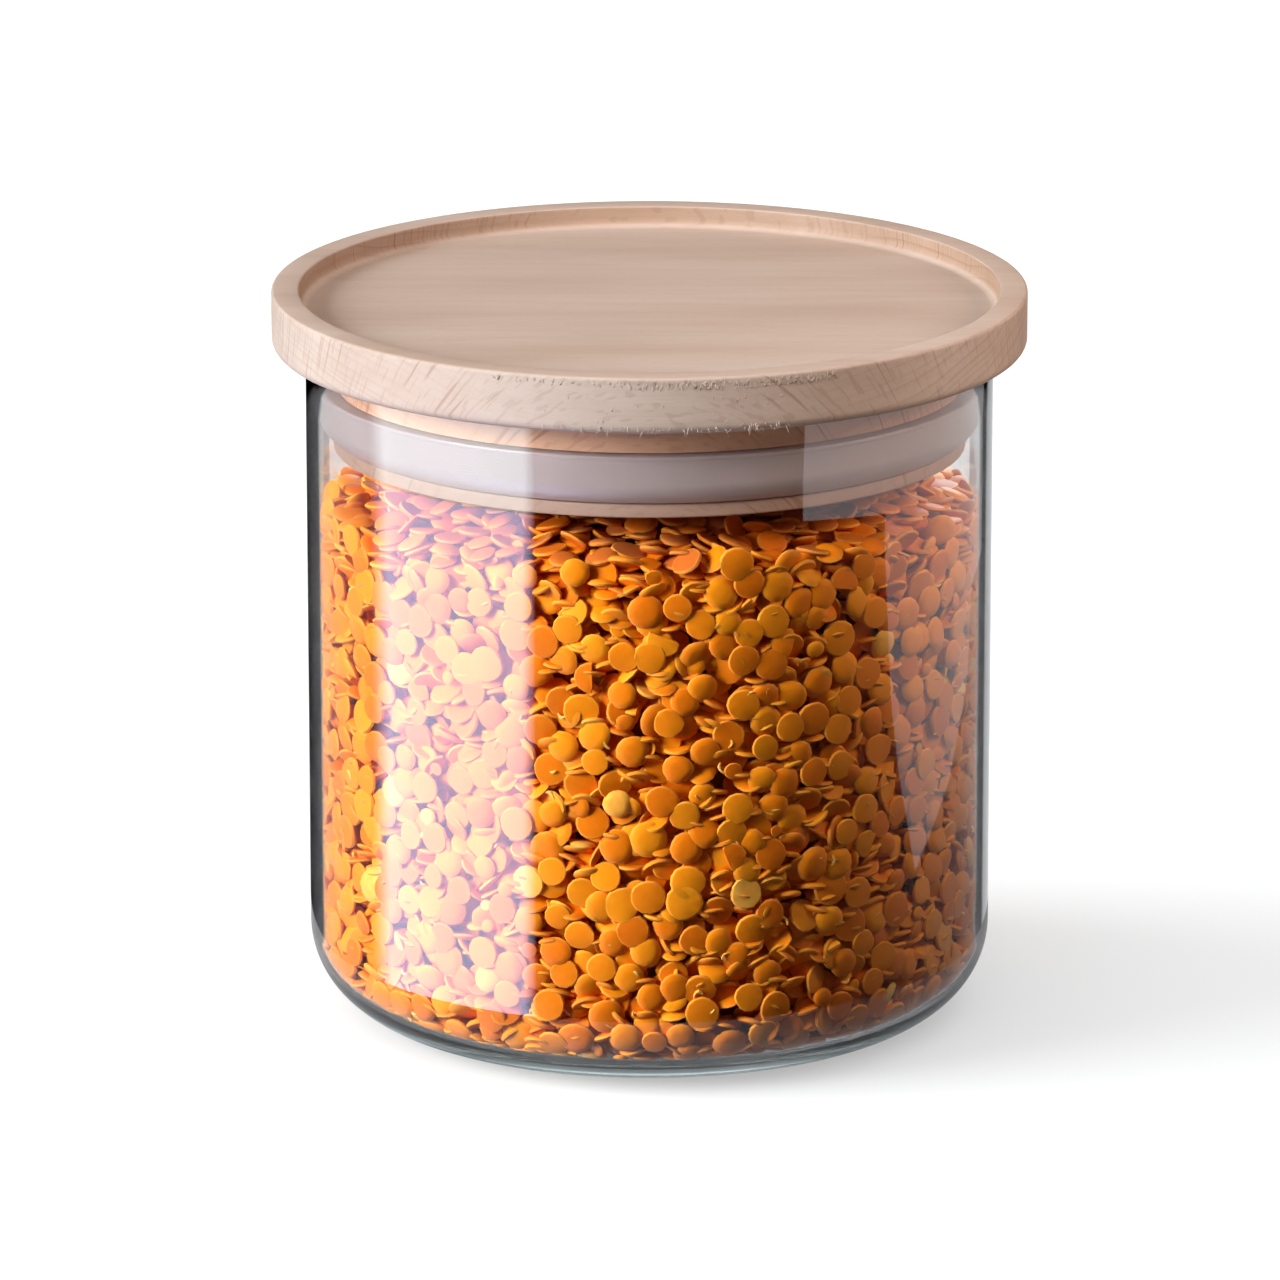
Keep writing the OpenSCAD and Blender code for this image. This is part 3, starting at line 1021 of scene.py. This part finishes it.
def ring(name, inner, outer, around, colour, rays=("glossy",)):
    """A bright flat ring on the floor round the jar's foot. around lists (azimuth, glow) along it."""
    steps = range(-180, 180, 6)
    points = [polar(azimuth, distance, RING_Z) for distance in (inner, outer) for azimuth in steps]
    count = len(steps)
    faces = [(i, (i + 1) % count, (i + 1) % count + count, i + count) for i in range(count)]
    azimuths, glows = zip(*around)
    shine(make_object(name, points, faces), list(np.interp(steps, azimuths, glows)) * 2, colour, rays)


RING_Z = 0.2 * MM  # the rings lie just above the floor
FLOOR_HALF = 6.0
FLOOR_GLOW = 0.40
AMBIENT = (0.055, 0.044, 0.037)  # what the jar's surroundings give to matt surfaces
floor = make_object("floor", [(-FLOOR_HALF, -FLOOR_HALF, 0), (FLOOR_HALF, -FLOOR_HALF, 0),
                              (FLOOR_HALF, FLOOR_HALF, 0), (-FLOOR_HALF, FLOOR_HALF, 0)], [(0, 1, 2, 3)])
floor.data.materials.append(floor_material())
seen_only_by(floor, "camera", "transmission")

# Windows that mirror in the glass: a tall one on the left, brighter towards its foot, and on the right a weak
# one whose foot is cut to a point.
SILL = -0.213
card("left_window", 1.2, 1.2,
     [(37.5, SILL, 0.0), (41.5, SILL, 7.8), (70, SILL, 6.8), (97, SILL, 5.9), (101, SILL, 2.8),
      (103.5, SILL, 0.8), (106, SILL, 0.0)], (0.82, 0.97, 1.0))
card("left_window_foot", 1.2, SILL,
     [(37.5, -3, 0.0), (42, -3, 14.0), (70, -3, 13.0), (96, -3, 11.5), (100, -3, 5.0), (103, -3, 1.4),
      (105.5, -3, 0.0)], (0.65, 0.62, 0.92))
card("right_window", 0.6, 0.6, [(-82, -0.058, 1.7), (-50, -0.055, 2.3)], (1.0, 0.97, 1.0))
card("right_window_point", 0.6, 0.6,
     [(-145, -0.08, 0.4), (-134, -0.085, 0.5), (-131, -0.105, 0.5), (-117, -0.126, 0.8), (-97.5, -0.142, 1.2),
      (-89, -0.118, 1.4), (-85, -0.10, 1.5), (-82, -0.066, 1.6)], (1.0, 0.97, 1.0))
# The white backdrop as the right edge of the glass mirrors it, and the paper round and under the jar's foot.
card("right_backdrop", 0.6, 0.3, [(-180, -0.4, 0.85), (-153, -0.4, 0.85), (-150, -0.4, 0.2)],
     (0.97, 0.99, 1.0))
ring("apron", 48.9 * MM, 80 * MM,
     [(-180, 0.3), (-40, 0.3), (-20, 0.8), (20, 0.8), (38, 0.5), (180, 0.5)],
     (0.95, 0.97, 1.0))
ring("foot_gloss", 46.3 * MM, 48.9 * MM,
     [(-180, 0.3), (-43, 0.3), (-20, 1.6), (20, 1.6), (38, 0.65), (180, 0.65)],
     (0.85, 0.97, 1.0))
ring("foot_shade", 36 * MM, 46.3 * MM,
     [(-180, 0.25), (-43, 0.25), (-20, 0.45), (20, 0.45), (38, 0.3), (180, 0.3)],
     (0.85, 0.97, 1.0))
ring("foot_paper", 30 * MM, 53 * MM,
     [(-180, 0.3), (-40, 0.3), (-15, 0.1), (15, 0.1), (38, 0.25), (180, 0.25)],
     (0.95, 0.97, 1.0), ("transmission",))

# Grey cards behind the jar's sides, which darken the edges of the glass.
card("left_flag", 0.075, 0.11, [(105, 0, 0.3), (126, 0, 0.3)], (1, 0.98, 1), ("transmission",))
card("right_flag", 0.075, 0.11, [(-126, 0, 0.3), (-105, 0, 0.3)], (1, 0.98, 1), ("transmission",))


AIM_Z = 0.06  # the lamps point this high

def hang(name, data, azimuth, elevation, distance, lights):
    """Puts up a lamp or a sun that points at the middle of the jar's foot and lights one collection."""
    made = bpy.data.objects.new(name, data)
    rise = math.radians(elevation)
    made.location = polar(azimuth, distance * math.cos(rise), distance * math.sin(rise))
    made.rotation_euler = (-made.location).to_track_quat("-Z", "Y").to_euler()
    made.light_linking.receiver_collection = lights
    bpy.context.scene.collection.objects.link(made)
    return made


def lamp(name, azimuth, elevation, distance, size, power, colour, lights):
    """A soft square lamp that points at the middle of the jar and lights one collection."""
    data = bpy.data.lights.new(name, "AREA")
    data.shape = "RECTANGLE"
    data.size, data.size_y = size, size
    data.energy = power
    data.color = colour
    made = hang(name, data, azimuth, elevation, distance, lights)
    made.location.z += AIM_Z
    made.visible_camera = False


def sun(name, azimuth, elevation, spread, strength, lights):
    """Even light from one side, whose shadows are as soft as its spread in degrees."""
    data = bpy.data.lights.new(name, "SUN")
    data.energy = strength
    data.angle = math.radians(spread)
    hang(name, data, azimuth, elevation, 2, lights)


# The lamps light the object but don't mirror in its glass, and the suns light the floor alone.
on_lid = bpy.data.collections.new("on_lid")
on_lentils = bpy.data.collections.new("on_lentils")
on_floor = bpy.data.collections.new("on_floor")
on_floor.objects.link(floor)
for obj in (lid, slivers, seal):
    on_lid.objects.link(obj)
for obj in (*pile, bed):
    on_lentils.objects.link(obj)
lamp("lid_key", 58, 22, 1.2, 0.5, 30.0, (0.86, 0.94, 1.0), on_lid)
lamp("lid_top", 10, 75, 1.0, 0.5, 5.6, (1.0, 0.93, 0.90), on_lid)
lamp("lid_right", -74, 32, 0.34, 0.12, 0.68, (1.0, 0.80, 0.68), on_lid)
lamp("lid_bounce", 6, -36, 1.0, 0.5, 1.4, (1.0, 0.88, 0.76), on_lid)
lamp("lentil_key", 62, 22, 1.2, 0.5, 37.0, (0.92, 0.94, 0.96), on_lentils)
lamp("lentil_right", -68, 34, 0.157, 0.04, 0.085, (1.0, 0.84, 0.66), on_lentils)
lamp("lid_rear", 180, -12, 1.2, 0.5, 12.0, (0.92, 0.96, 1.0), on_lid)
lamp("lentil_rear", 190, 22, 1.2, 0.5, 16.0, (0.95, 0.97, 1.0), on_lentils)
sun("side_sun", 83, 32, 45, 6.7, on_floor)
sun("top_sun", 20, 80, 110, 5.5, on_floor)

world = bpy.data.worlds.new("world")
bpy.context.scene.world = world
world.use_nodes = True
backdrop = world.node_tree.nodes["Background"]
path = world.node_tree.nodes.new("ShaderNodeLightPath")
sky = world.node_tree.nodes.new("ShaderNodeMix")
sky.data_type = "RGBA"
sky.inputs[6].default_value = (1, 1, 1, 1)
sky.inputs[7].default_value = (*AMBIENT, 1)
world.node_tree.links.new(path.outputs["Is Diffuse Ray"], sky.inputs[0])
world.node_tree.links.new(sky.outputs[2], backdrop.inputs["Color"])
world.cycles_visibility.glossy = False

cycles = bpy.context.scene.cycles
cycles.max_bounces = 24
cycles.glossy_bounces = 16
cycles.transmission_bounces = 24
cycles.diffuse_bounces = 5

CAMERA_DISTANCE = 1.5368
CAMERA_ELEVATION = math.radians(15.79)
TARGET_Z = 0.058
camera_data = bpy.data.cameras.new("camera")
camera_data.sensor_width = 36
camera_data.lens = 269.6
camera_data.shift_x = -0.0074
camera_data.shift_y = 0.0079
camera_data.clip_start = 0.05
camera = bpy.data.objects.new("camera", camera_data)
camera_back = CAMERA_DISTANCE * math.cos(CAMERA_ELEVATION)
camera_rise = CAMERA_DISTANCE * math.sin(CAMERA_ELEVATION)
camera.location = (0, -camera_back, TARGET_Z + camera_rise)
camera.rotation_euler = (math.pi / 2 - CAMERA_ELEVATION, 0, 0)
bpy.context.scene.collection.objects.link(camera)
bpy.context.scene.camera = camera
bpy.context.scene.view_settings.view_transform = "Standard"
